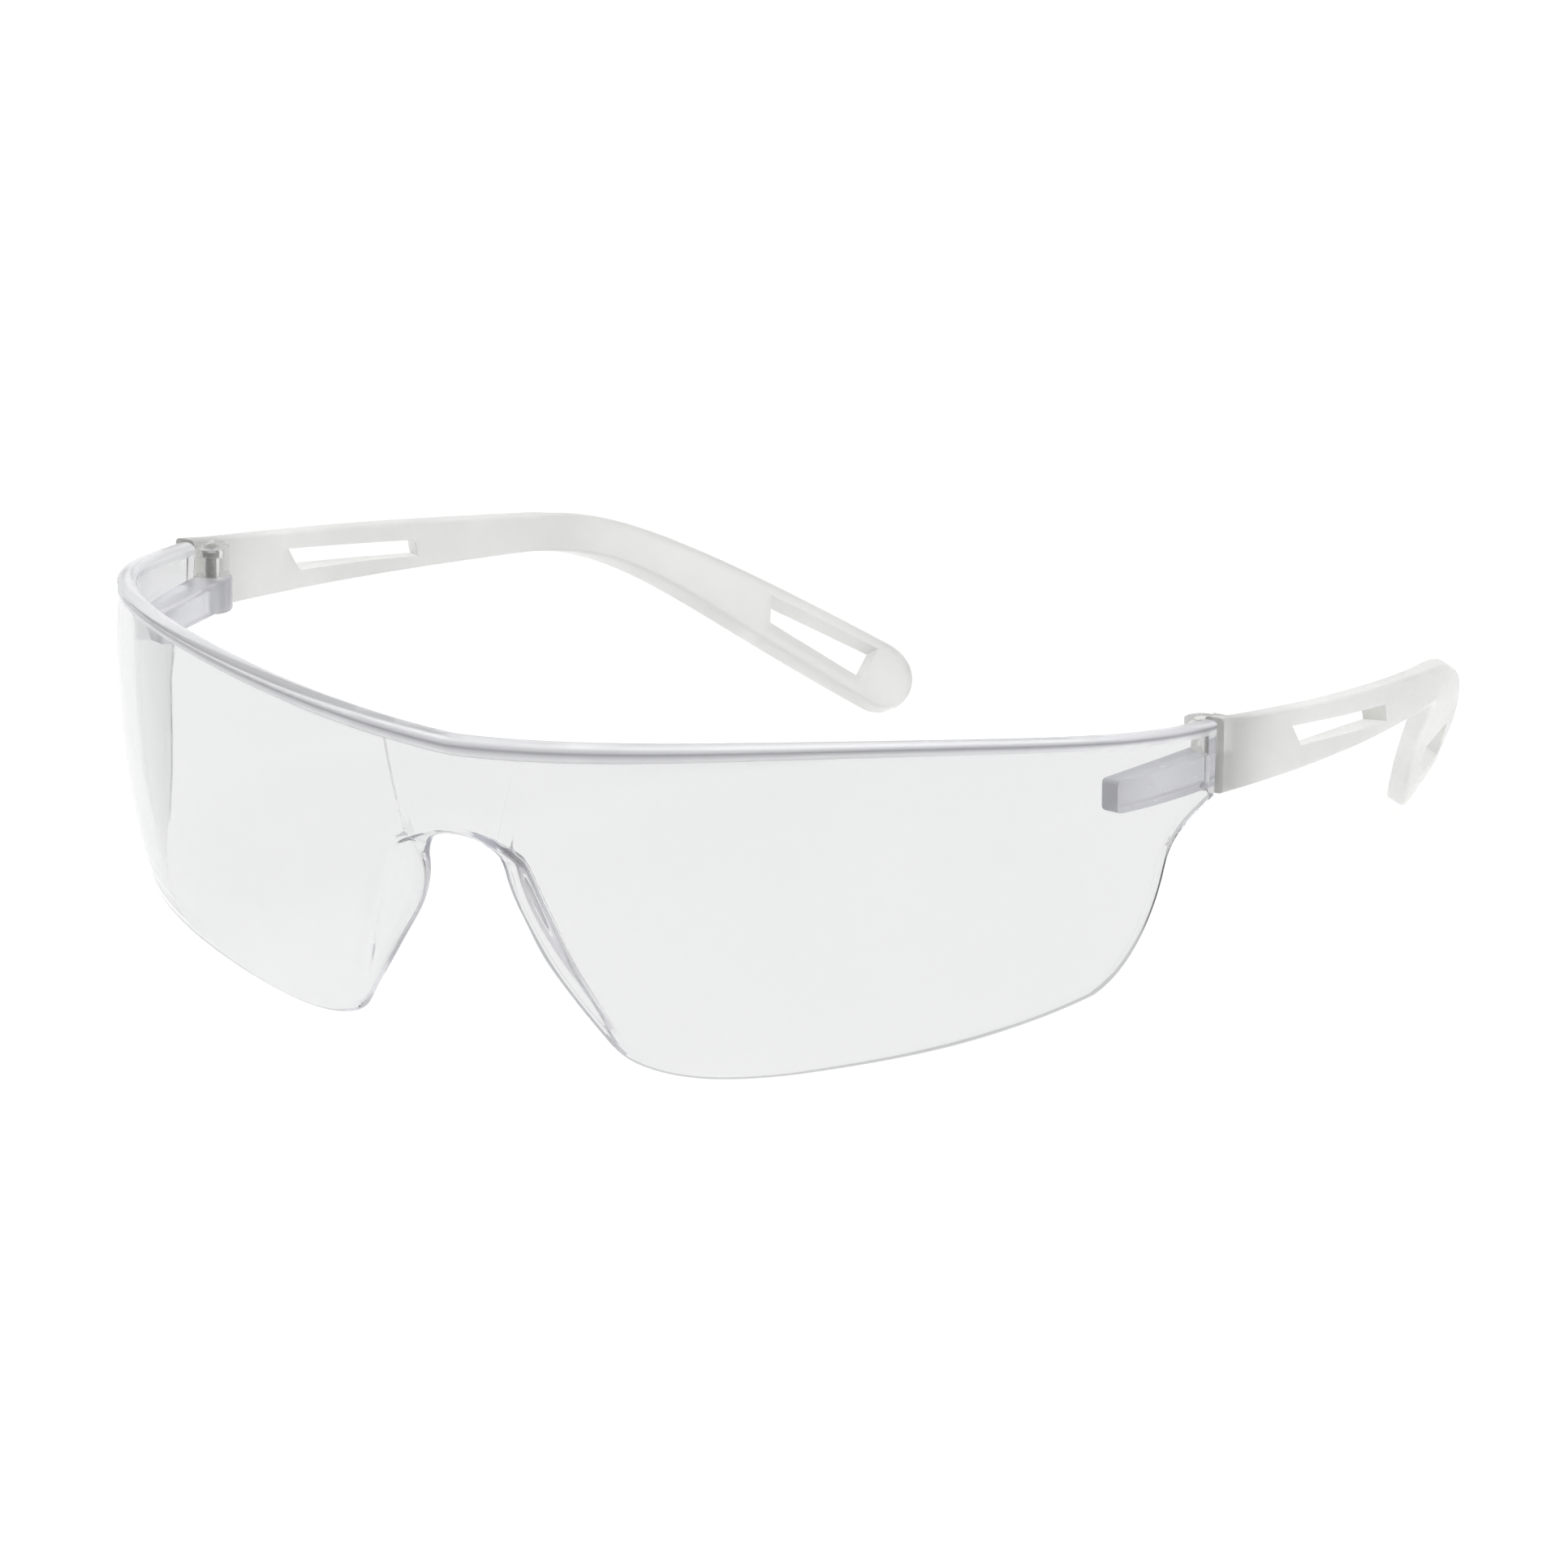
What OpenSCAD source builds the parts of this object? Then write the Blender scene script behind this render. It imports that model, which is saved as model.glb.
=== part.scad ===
// Clear one-piece wraparound safety glasses with two folding temples.
// Millimetres, +Z up.  The glasses stand open on the lens edge and the temple
// tips.  The front of the lens looks along -Y and the temples run along +Y.

/* [Show] */
// Which piece to draw: all of them or one by name

/* [Wrapped front] */
// Half of the width of the front at the hinges
front_half_width = 72.4; // [68:0.2:78]
// How far the front wraps back from brow to side
wrap_depth = 57.7; // [52:0.1:62]
// Fullness of the wrap seen from above, 2 is an ellipse
wrap_fullness = 2.2; // [2:0.05:2.5]
// Radius of the lens profile from top to bottom
profile_radius = 75; // [65:1:100]
// Thickness of the clear wall
lens_wall = 2.2; // [1.8:0.1:2.8]

/* [Brow bar] */
// Height of the thick bar along the top edge at the nose
bar_height = 2.3; // [2:0.1:3.5]
// Height of the bar near the hinges
bar_height_side = 1.5; // [1.4:0.1:3]
// How far the bar stands in front of the lens
bar_proud = 0.9; // [0.4:0.1:1.6]
// How much the top edge rises above each eye
brow_rise = 3.3; // [1:0.1:5]

/* [Nose] */
// Height of the nose arch below the middle of the brow
arch_drop = 12.8; // [10:0.2:15]
// How fast the moulded nose pads lean back from the lens
pad_lean = 0.39; // [0.2:0.01:0.5]
// How much faster they lean back near the arch
pad_lean_top = 0.13; // [0:0.01:0.2]
// Depth of the shallow step of the bridge between the two eyes
bridge_step = 0.35; // [0:0.05:0.5]

/* [Hinges] */
// Distance between the two hinge screws
hinge_spacing = 138; // [136:0.2:139]
// Hinge screw behind the hinge line of the lens edge
hinge_set_back = -0.3; // [-0.5:0.1:0]
// Radius of the round lens ear under the temple knuckle
ear_radius = 2.6; // [2.3:0.05:2.7]
// Radius of the temple knuckle
knuckle_radius = 2.2; // [1.9:0.05:2.25]
// Diameter of the screw shank
screw_shank = 1.2; // [1:0.05:1.4]
// Diameter of the screw head
screw_head = 1.9; // [1.7:0.05:2]

/* [Temples] */
// Thickness of the temple plate
temple_wall = 2.6; // [2.2:0.1:3]
// Slope of the upper edge of the front arm
upper_slope = 0.153; // [0.12:0.005:0.18]
// Slope of the lower edge of the front arm
lower_slope = 0.088; // [0.06:0.005:0.11]
// Inward bow of the front arm
inward_bow = 0.0021; // [0.0015:0.0001:0.0026]
// Length of the rounded end beyond the last straight part
tip_length = 4.8; // [4:0.1:6]

/* [Hidden] */

// The hinge line is lifted so that the lowest edge stands on Z = 0 and the
// whole is centred front to back.
lift = 40.8;
set_forward = -27.07;

screw_x = hinge_spacing / 2;
wrap_centre = 2.5;
side_angle = 86;
tiny = 0.01;

clear = [0.86, 0.90, 0.89, 0.45];
frosted = [0.90, 0.92, 0.90, 0.85];
steel = [0.35, 0.36, 0.38, 1];

// ---- small helpers -------------------------------------------------------
function mixed(a, b, t) = a + (b - a) * t;
function ramp(t) = let (c = min(1, max(0, t))) c * c * (3 - 2 * c);
function curve(p, t) = pow(1 - t, 3) * p[0] + 3 * pow(1 - t, 2) * t * p[1]
    + 3 * (1 - t) * t * t * p[2] + pow(t, 3) * p[3];
function curve_lead(p, t) = 3 * pow(1 - t, 2) * (p[1] - p[0])
    + 6 * (1 - t) * t * (p[2] - p[1]) + 3 * t * t * (p[3] - p[2]);
function unit(v) = v / norm(v);

// Skin a closed chain of equal loops into one closed solid.  Each end is
// closed by a ladder of triangles between the two long sides of its loop.
function end_faces(size) = [for (k = [0 : size / 2 - 2])
    each [[k, k + 1, size - 2 - k], [k, size - 2 - k, size - 1 - k]]];
function loop_faces(stations, size) = concat(
    end_faces(size),
    [for (i = [0 : stations - 2], k = [0 : size - 1])
        let (n = (k + 1) % size) [i * size + k, (i + 1) * size + n, i * size + n]],
    [for (i = [0 : stations - 2], k = [0 : size - 1])
        let (n = (k + 1) % size) [i * size + k, (i + 1) * size + k, (i + 1) * size + n]],
    [for (f = end_faces(size)) [for (k = [2, 1, 0]) (stations - 1) * size + f[k]]]);

module skin(loops) {
    size = len(loops[0]);
    polyhedron(points = [for (l = loops) each l],
        faces = loop_faces(len(loops), size), convexity = 12);
}

// ---- wrapped front -------------------------------------------------------
// Plan of the front, q runs from 0 at the nose to side_angle at the hinge.
function plan_point(q) = let (s = sign(q), a = abs(q), e = 2 / wrap_fullness)
    [s * front_half_width * pow(sin(a), e), wrap_centre - wrap_depth * pow(cos(a), e)];
function plan_out(q) = let (p = plan_point(q), e = wrap_fullness - 1,
    u = abs(p[0]) / front_half_width, v = abs(p[1] - wrap_centre) / wrap_depth)
    unit([sign(q) * pow(u, e) / front_half_width, -pow(v, e) / wrap_depth]);

// Backward sweep of the profile at height z, an arc of profile_radius.  The
// profile is straighter and slightly fuller beside each eye.
profile_top = -5;
function beside(q) = ramp((abs(q) - 25) / 30);
function swell(q) = 0.45 * beside(q) * (1 - ramp((abs(q) - 68) / 16));
function sweep(q, z) = (1 - 0.25 * beside(q))
    * (profile_radius - sqrt(pow(profile_radius, 2) - pow(z - profile_top, 2))) - swell(q);

// The top edge, low at the nose and high above each eye.
function brow_z(q) = 0.5 * abs(q) / side_angle
    + brow_rise * pow(max(0, sin(180 * abs(q) / side_angle)), 1.2);

// The nose pads and the lip of the arch are moulded on: inside the fold line
// the wall leans back.
function fold_x(z) = 3.7 - 0.42 * z;
function fold_z(x) = -11.3 - 0.035 * x * x;
function lean(x, z) = (pad_lean + pad_lean_top * ramp((z + 28) / 6))
    * max(0, min(fold_x(z) - abs(x), 2 * (fold_z(x) - z)));
// The wall stays square to itself where it leans: its back is set outwards.
function square(x, z, out) = -0.42 * min(out, 0) * ramp(abs(x) / 4)
    * ramp(min(fold_x(z) - abs(x), 2 * (fold_z(x) - z)) / 2);
// The bridge between the eyes is a shallow step between two slanting lines.
function step_x(z) = 10.7 + 0.31 * z;
function bridge(x, z) = bridge_step * ramp((step_x(z) - abs(x)) / 1.8) * ramp((15.5 + z) / 3);

// Lower outline of one half, six joined curves in plan angle and height.
outline = [
    [[0, -arch_drop], [1.6, -arch_drop], [2.95, -13.7], [3.2, -16.6]],
    [[3.2, -16.6], [3.4, -22.4], [7, -29], [12, -36.6]],
    [[12, -36.6], [15, -41.2], [22, -41.4], [33.7, -38.7]],
    [[33.7, -38.7], [45, -35.9], [60, -32.8], [69.7, -30.1]],
    [[69.7, -30.1], [74.8, -27.8], [77.3, -21.7], [78.4, -16]],
    [[78.4, -16], [78.9, -12], [81.5, -10.9], [side_angle, -8.9]]];
outline_steps = [8, 13, 10, 11, 7, 6];

half_outline = [for (c = [0 : 5], i = [0 : outline_steps[c] - 1])
    curve(outline[c], i / outline_steps[c])];
right_outline = concat(half_outline, [[side_angle, -8.9]]);
lens_stations = concat(
    [for (i = [len(right_outline) - 1 : -1 : 1]) [-right_outline[i][0], right_outline[i][1]]],
    right_outline);

function lens_point(q, z, out, front) = let (p = plan_point(q), n = plan_out(q),
    d = out - sweep(q, z) - lean(p[0], z) - (front ? bridge(p[0], z) : 0),
    e = square(p[0], z, out) * sign(q))
    [p[0] + n[0] * d - n[1] * e, p[1] + n[1] * d + n[0] * e, z];

wall_rows = 9;
front_turns = [105, 75, 45, 15];
rear_turns = [172, 155, 138, 120];
function lens_loop(s) = let (q = s[0], low = s[1], high = brow_z(q),
    tall = mixed(bar_height, bar_height_side, ramp(abs(q) / 50)), under = high - tall,
    proud = bar_proud - 0.7 * beside(q), mid = (proud - lens_wall) / 2,
    half = (proud + lens_wall) / 2, top = min(1.3, tall - 0.7))
    concat(
        [for (a = front_turns)
            lens_point(q, high - top * (1 - sin(a)), mid + half * cos(a), false)],
        [lens_point(q, under + 0.5, proud, false), lens_point(q, under + 0.15, 0.6 * proud, false)],
        [for (i = [0 : wall_rows]) lens_point(q, mixed(under, low + 0.35, i / wall_rows), 0, true)],
        [lens_point(q, low, -0.45, true), lens_point(q, low + 0.1, -lens_wall + 0.4, true),
         lens_point(q, low + 0.5, -lens_wall, false)],
        [for (i = [1 : wall_rows]) lens_point(q, mixed(low + 0.5, high - top, i / wall_rows),
            -lens_wall, false)],
        [for (a = rear_turns)
            lens_point(q, high - top * (1 - sin(a)), mid + half * cos(a), false)]);

module lens_shell() {
    skin([for (s = lens_stations) lens_loop(s)]);
}

// ---- hinge levels --------------------------------------------------------
ear_low = -8.15;
arm_low_z = -7.7;
ear_high = -3.75;
knuckle_low = -3.65;
knuckle_high = -0.2;
head_seat = -1.35;
head_top = -0.55;
screw_end = -7.8;
running_gap = 0.06;
round_steps = 48;

// Arm inside the wall that carries the ear, drawn for the +X side.
module ear_arm() {
    translate([0, 0, arm_low_z])
        linear_extrude(ear_high - arm_low_z)
            polygon([[screw_x - ear_radius, hinge_set_back], [65.6, -9], [64.7, -17.4],
                [68.1, -17.8], [69.8, -11], [70.5, -3.4], [71, hinge_set_back]]);
    translate([screw_x, hinge_set_back, ear_low])
        cylinder(h = ear_high - ear_low, r = ear_radius, $fn = round_steps);
}

module lens() {
    color(clear)
    translate([0, set_forward, lift])
    difference() {
        union() {
            lens_shell();
            ear_arm();
            mirror([1, 0, 0]) ear_arm();
        }
        for (side = [-1, 1])
            translate([side * screw_x, hinge_set_back, screw_end])
                cylinder(h = 10, d = screw_shank, $fn = round_steps);
    }
}

// ---- temples, drawn for the +X side --------------------------------------
bend_y = 62;
front_end = -2.1;
arm_x = 71.6;
edge_cut = 0.45;
function arm_mid(y) = arm_x - inward_bow * y * y;
function arm_top(y) = 0.15 + 0.25 * ramp((4.5 - y) / 7) - upper_slope * y;
function arm_low(y) = -8.55 - lower_slope * y;

// Upper and lower edges of the drooping rear part.
rear_top = [[arm_mid(bend_y), bend_y, arm_top(bend_y)], [61.1, 74.6, -10.7],
    [55.9, 86.5, -17.3], [39.5, 108.4, -33.4]];
rear_low = [[arm_mid(bend_y), bend_y, arm_low(bend_y)], [57, 77, -16.2],
    [52.2, 78.5, -22.2], [38, 101.5, -39.4]];

// A station is [upper edge, lower edge, lead direction].
arm_steps = 12;
rear_steps = 18;
cap_steps = 7;
tip_lead = unit(unit(curve_lead(rear_top, 1)) + unit(curve_lead(rear_low, 1)));
tip_mid = (rear_top[3] + rear_low[3]) / 2;
tip_half = (rear_top[3] - rear_low[3]) / 2;

temple_stations = concat(
    [for (i = [0 : arm_steps - 1]) let (y = mixed(front_end, bend_y, i / arm_steps))
        [[arm_mid(y), y, arm_top(y)], [arm_mid(y), y, arm_low(y)],
         unit([-2 * inward_bow * y, 1, 0])]],
    [for (i = [0 : rear_steps]) let (t = i / rear_steps)
        [curve(rear_top, t), curve(rear_low, t),
         unit(unit(curve_lead(rear_top, t)) + unit(curve_lead(rear_low, t)))]],
    [for (i = [1 : cap_steps]) let (a = 82 * i / cap_steps,
        m = tip_mid + tip_lead * tip_length * sin(a), h = tip_half * pow(cos(a), 0.8))
        [m + h, m - h, tip_lead]]);

function temple_loop(s) = let (top = s[0], low = s[1], down = unit(low - top),
    out = unit(cross(s[2], down)) * temple_wall / 2, c = min(edge_cut, norm(low - top) / 4))
    [top + down * c + out, top + out * 0.6, top - out * 0.6, top + down * c - out,
     low - down * c - out, low - out * 0.6, low + out * 0.6, low - down * c + out];

module temple_body() {
    skin([for (s = temple_stations) temple_loop(s)]);
}

// A slot is a four cornered tunnel from the outer face to the inner face.
module tunnel(outer, inner) {
    polyhedron(points = concat(outer, inner),
        faces = [[0, 1, 2], [0, 2, 3], [7, 6, 5], [7, 5, 4], [4, 5, 1], [4, 1, 0],
            [5, 6, 2], [5, 2, 1], [6, 7, 3], [6, 3, 2], [7, 4, 0], [7, 0, 3]], convexity = 4);
}

// Long slot through the front arm, its ends flare towards the outer face.
outer_front = [[14.9, -4.2], [43.4, -8.8], [43.9, -11], [17.3, -7.2]];
inner_front = [[17.6, -4.7], [41.3, -8.5], [42.1, -10.7], [19.9, -7.9]];
reach = 2;
function front_corner(k, side) = let (m = (outer_front[k] + inner_front[k]) / 2,
    d = (outer_front[k] - inner_front[k]) / 2, p = m + d * side * reach / (temple_wall / 2))
    [arm_mid(m[0]) + side * reach, p[0], p[1]];
module front_slot() {
    tunnel([for (k = [0 : 3]) front_corner(k, 1)], [for (k = [0 : 3]) front_corner(k, -1)]);
}

// Wedge slot through the drooping rear part, cut square to the plate.
function rear_at(t, w) = mixed(curve(rear_top, t), curve(rear_low, t), w);
function rear_out(t) = unit(cross(unit(curve_lead(rear_top, t)),
    unit(curve(rear_low, t) - curve(rear_top, t)))) * temple_wall;
slot_corners = [[0.777, 0.22], [0.985, 0.17], [0.975, 0.73], [0.785, 0.68]];
module rear_slot() {
    tunnel([for (c = slot_corners) rear_at(c[0], c[1]) - rear_out(c[0])],
        [for (c = slot_corners) rear_at(c[0], c[1]) + rear_out(c[0])]);
}

module temple() {
    difference() {
        union() {
            temple_body();
            // knuckle above the lens ear, joined to the plate
            translate([screw_x, hinge_set_back, knuckle_low])
                cylinder(h = knuckle_high - knuckle_low, r = knuckle_radius, $fn = round_steps);
            translate([screw_x, hinge_set_back - 1.1, knuckle_low])
                cube([2, knuckle_radius + 1.6, knuckle_high - knuckle_low]);
        }
        // room for the ear and its arm
        translate([screw_x, hinge_set_back, -12])
            cylinder(h = knuckle_low + 12, r = ear_radius + 0.25, $fn = round_steps);
        translate([screw_x - 4, -6, -12])
            cube([6.4, 6 + hinge_set_back, knuckle_low + 12]);
        // running hole and seat for the screw
        translate([screw_x, hinge_set_back, -6])
            cylinder(h = 8, r = screw_shank / 2 + running_gap, $fn = round_steps);
        translate([screw_x, hinge_set_back, head_seat - running_gap])
            cylinder(h = 4, r = screw_head / 2 + running_gap, $fn = round_steps);
        front_slot();
        rear_slot();
    }
}

module temple_left() {
    color(frosted) translate([0, set_forward, lift]) temple();
}

module temple_right() {
    color(frosted) translate([0, set_forward, lift]) mirror([1, 0, 0]) temple();
}

// ---- hinge screws --------------------------------------------------------
module screw() {
    difference() {
        union() {
            translate([0, 0, screw_end])
                cylinder(h = head_top - screw_end - tiny, d = screw_shank, $fn = round_steps);
            translate([0, 0, head_seat])
                cylinder(h = head_top - head_seat, d = screw_head, $fn = round_steps);
        }
        translate([-2, -0.15, head_top - 0.35]) cube([4, 0.3, 2]);
    }
}

module hinge_screw_left() {
    color(steel) translate([screw_x, set_forward + hinge_set_back, lift]) screw();
}

module hinge_screw_right() {
    color(steel) translate([-screw_x, set_forward + hinge_set_back, lift]) screw();
}

lens();
temple_left();
temple_right();
hinge_screw_left();
hinge_screw_right();
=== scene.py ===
import math

import bmesh
import bpy
import numpy as np
from mathutils import Matrix, Vector


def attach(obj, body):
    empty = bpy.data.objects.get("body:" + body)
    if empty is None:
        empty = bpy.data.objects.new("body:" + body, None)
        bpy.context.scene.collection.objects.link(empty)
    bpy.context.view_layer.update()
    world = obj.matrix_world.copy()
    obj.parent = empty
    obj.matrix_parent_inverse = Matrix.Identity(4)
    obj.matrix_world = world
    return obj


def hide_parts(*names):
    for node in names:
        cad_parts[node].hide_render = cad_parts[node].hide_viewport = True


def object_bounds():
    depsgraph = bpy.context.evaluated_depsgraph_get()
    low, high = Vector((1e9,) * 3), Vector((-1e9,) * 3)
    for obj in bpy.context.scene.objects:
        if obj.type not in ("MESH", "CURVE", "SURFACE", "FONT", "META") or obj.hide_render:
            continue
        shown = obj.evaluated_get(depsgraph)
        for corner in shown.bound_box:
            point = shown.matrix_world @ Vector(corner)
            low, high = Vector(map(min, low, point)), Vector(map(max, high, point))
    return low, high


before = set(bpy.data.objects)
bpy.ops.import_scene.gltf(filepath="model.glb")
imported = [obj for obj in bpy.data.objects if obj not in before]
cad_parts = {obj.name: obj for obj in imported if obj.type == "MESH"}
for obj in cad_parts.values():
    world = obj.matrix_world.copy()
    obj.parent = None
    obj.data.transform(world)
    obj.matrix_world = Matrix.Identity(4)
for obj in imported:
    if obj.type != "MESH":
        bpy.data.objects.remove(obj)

cad_box = [list(v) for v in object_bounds()]

# ---------------------------------------------------------------------------
# The shapes are worked out in millimetres around the hinge line: X to the
# wearer's left, Y to the back and Z up. placed() moves them into the frame of
# the CAD model, in metres.
# ---------------------------------------------------------------------------
MM = 0.001
LIFT, FORWARD = 40.8, -27.07


def placed(points):
    p = np.asarray(points, float).reshape(-1, 3) + (0.0, FORWARD, LIFT)
    return p * MM


def ramp(t):
    c = np.clip(t, 0.0, 1.0)
    return c * c * (3 - 2 * c)


def mixed(a, b, t):
    return a + (b - a) * t


def bezier(p, t):
    p = np.asarray(p, float)
    t = np.asarray(t, float)[..., None]
    return ((1 - t) ** 3 * p[0] + 3 * (1 - t) ** 2 * t * p[1]
            + 3 * (1 - t) * t * t * p[2] + t ** 3 * p[3])


def bezier_lead(p, t):
    p = np.asarray(p, float)
    t = np.asarray(t, float)[..., None]
    return (3 * (1 - t) ** 2 * (p[1] - p[0]) + 6 * (1 - t) * t * (p[2] - p[1])
            + 3 * t * t * (p[3] - p[2]))


def unit(v):
    v = np.asarray(v, float)
    return v / np.linalg.norm(v, axis=-1, keepdims=True)


# ---------------------------------------------------------------------------
# Mesh helpers
# ---------------------------------------------------------------------------
def add_mesh(name, points, faces):
    mesh = bpy.data.meshes.new(name)
    mesh.from_pydata([tuple(p) for p in placed(points)], [], [tuple(f) for f in faces])
    mesh.validate()
    mesh.update()
    obj = bpy.data.objects.new(name, mesh)
    bpy.context.scene.collection.objects.link(obj)
    return obj


def skin(name, loops):
    """A closed solid through equal closed loops, with a flat face at each end."""
    loops = np.asarray(loops, float)
    count, size = loops.shape[:2]
    faces = [tuple(range(size))]
    for i in range(count - 1):
        for k in range(size):
            n = (k + 1) % size
            faces.append((i * size + k, (i + 1) * size + k, (i + 1) * size + n, i * size + n))
    faces.append(tuple((count - 1) * size + k for k in range(size - 1, -1, -1)))
    return outward(add_mesh(name, loops.reshape(-1, 3), faces))


def outward(obj):
    bm = bmesh.new()
    bm.from_mesh(obj.data)
    bmesh.ops.recalc_face_normals(bm, faces=bm.faces)
    if bm.calc_volume(signed=True) < 0:
        bmesh.ops.reverse_faces(bm, faces=bm.faces)
    bm.to_mesh(obj.data)
    bm.free()
    return obj


def prism(name, outline, low, high):
    n = len(outline)
    points = [(x, y, low) for x, y in outline] + [(x, y, high) for x, y in outline]
    faces = [tuple(range(n - 1, -1, -1)), tuple(range(n, 2 * n))]
    faces += [(k, (k + 1) % n, n + (k + 1) % n, n + k) for k in range(n)]
    return outward(add_mesh(name, points, faces))


def block(name, left, right, front, back, low, high):
    return prism(name, [(left, front), (right, front), (right, back), (left, back)], low, high)


def round_bar(name, x, y, low, high, radius, sides=64):
    turn = [2 * math.pi * k / sides for k in range(sides)]
    return prism(name, [(x + radius * math.cos(a), y + radius * math.sin(a)) for a in turn],
                 low, high)


def tunnel(name, outer, inner):
    points = list(outer) + list(inner)
    faces = [(0, 1, 2, 3), (7, 6, 5, 4)] + [
        ((k + 1) % 4, k, 4 + k, 4 + (k + 1) % 4) for k in range(4)]
    return outward(add_mesh(name, points, faces))


def apply_all(obj):
    """Bake the modifiers into the mesh."""
    bpy.context.view_layer.update()
    graph = bpy.context.evaluated_depsgraph_get()
    mesh = bpy.data.meshes.new_from_object(obj.evaluated_get(graph), depsgraph=graph)
    old = obj.data
    obj.modifiers.clear()
    obj.data = mesh
    mesh.name = obj.name
    bpy.data.meshes.remove(old)
    return obj


def combine(obj, others, operation):
    for other in others:
        m = obj.modifiers.new("join", "BOOLEAN")
        m.operation = operation
        m.solver = "EXACT"
        m.object = other
        apply_all(obj)
        bpy.data.objects.remove(other)
    return obj


def soften(obj, width, angle, segments):
    m = obj.modifiers.new("edges", "BEVEL")
    m.width = width * MM
    m.segments = segments
    m.limit_method = "ANGLE"
    m.angle_limit = math.radians(angle)
    m.use_clamp_overlap = True
    m.miter_outer = "MITER_ARC"
    return apply_all(obj)


def shade(obj, angle):
    for p in obj.data.polygons:
        p.use_smooth = True
    obj.data.set_sharp_from_angle(angle=math.radians(angle))
    m = obj.modifiers.new("normals", "WEIGHTED_NORMAL")
    m.keep_sharp = True
    m.weight = 50
    return apply_all(obj)


def mirrored(obj, name):
    other = obj.copy()
    other.data = obj.data.copy()
    other.name = other.data.name = name
    bpy.context.scene.collection.objects.link(other)
    other.data.transform(Matrix.Scale(-1, 4, (1, 0, 0)))
    other.data.flip_normals()
    return other


# ---------------------------------------------------------------------------
# Wrapped front: lens, brow bar, bridge and nose pads in one wall
# ---------------------------------------------------------------------------
# Half plan, a rounded ellipse. Angles run round it in degrees, from the nose.
HALF_WIDTH, WRAP_DEPTH, FULLNESS, WRAP_CENTRE = 72.4, 57.7, 2.2, 2.5
SIDE, BESIDE, BESIDE_WIDE = 86.0, 25, 30
# Side profile, an arc that is flatter and a little fuller beside the eyes.
PROFILE_R, PROFILE_TOP, WALL = 75.0, -5.0, 2.2
FLATTER, SWELL, SWELL_END, SWELL_FADE = 0.25, 0.45, 68, 16
# Brow line and the bar along it.
BROW_SIDE, BROW_RISE, BROW_ROUND = 0.5, 3.3, 1.2
BAR_MID, BAR_SIDE, BAR_TAPER, PROUD, PROUD_LOSS = 2.3, 1.5, 50, 0.9, 0.7
# Fold line round the arch and the nose pads, and how the wall leans inside it.
FOLD_X, FOLD_SLOPE, FOLD_Z, FOLD_ARCH, FOLD_SOFT = 3.7, 0.42, -11.3, 0.035, 0.5
PAD_LEAN, PAD_LEAN_TOP, LEAN_FROM, LEAN_FADE, BACK_SHIFT = 0.39, 0.13, -28, 6, 0.42
# Step between the eyes, which ends at the fold line.
BRIDGE_STEP, STEP_ANGLE, STEP_WIDE, STEP_END, STEP_FADE = 0.15, 5.85, 0.17, 0.1, 1.2


def plan_point(q):
    """Where the front surface lies at a plan angle."""
    e, a = 2 / FULLNESS, np.radians(np.abs(q))
    x = np.sign(q) * HALF_WIDTH * np.abs(np.sin(a)) ** e
    return np.stack([x, WRAP_CENTRE - WRAP_DEPTH * np.abs(np.cos(a)) ** e], -1)


def plan_out(q):
    """Unit direction out of the front surface at a plan angle."""
    p, e = plan_point(q), FULLNESS - 1
    u, v = np.abs(p[..., 0]) / HALF_WIDTH, np.abs(p[..., 1] - WRAP_CENTRE) / WRAP_DEPTH
    return unit(np.stack([np.sign(q) * u ** e / HALF_WIDTH, -v ** e / WRAP_DEPTH], -1))


def beside(q):
    """0 near the nose, rising to 1 beside the eyes."""
    return ramp((np.abs(q) - BESIDE) / BESIDE_WIDE)


def sweep(q, z):
    """How far the profile has swept back at a height."""
    swell = SWELL * beside(q) * (1 - ramp((np.abs(q) - SWELL_END) / SWELL_FADE))
    arc = PROFILE_R - np.sqrt(PROFILE_R ** 2 - (z - PROFILE_TOP) ** 2)
    return (1 - FLATTER * beside(q)) * arc - swell


def brow_z(q):
    a = np.abs(q) / SIDE
    return BROW_SIDE * a + BROW_RISE * np.clip(np.sin(math.pi * a), 0, 1) ** BROW_ROUND


def bar_height(q):
    return mixed(BAR_MID, BAR_SIDE, ramp(np.abs(q) / BAR_TAPER))


def inside_fold(x, z):
    """How far a point lies inside the fold line round the arch and the pads."""
    aside = FOLD_X - FOLD_SLOPE * z - np.abs(x)
    below = 2 * (FOLD_Z - FOLD_ARCH * x * x - z)
    over = 0.5 * (aside + below - np.sqrt((aside - below) ** 2 + FOLD_SOFT))
    return 0.5 * (over + np.sqrt(over ** 2 + FOLD_SOFT))


def lean(x, z):
    steep = PAD_LEAN + PAD_LEAN_TOP * ramp((z - LEAN_FROM) / LEAN_FADE)
    return steep * inside_fold(x, z)


def square(x, z, out):
    """The wall stays square to itself where it leans: its back is set outwards."""
    return -BACK_SHIFT * np.minimum(out, 0) * ramp(np.abs(x) / 4) * ramp(inside_fold(x, z) / 2)


def bridge(column, x, z):
    """Shallow step between the eyes, which follows one column on each side."""
    t = np.clip((STEP_ANGLE - np.abs(column)) / STEP_WIDE, 0, 1)
    return BRIDGE_STEP * t * (1 - ramp((inside_fold(x, z) - STEP_END) / STEP_FADE))


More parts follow.
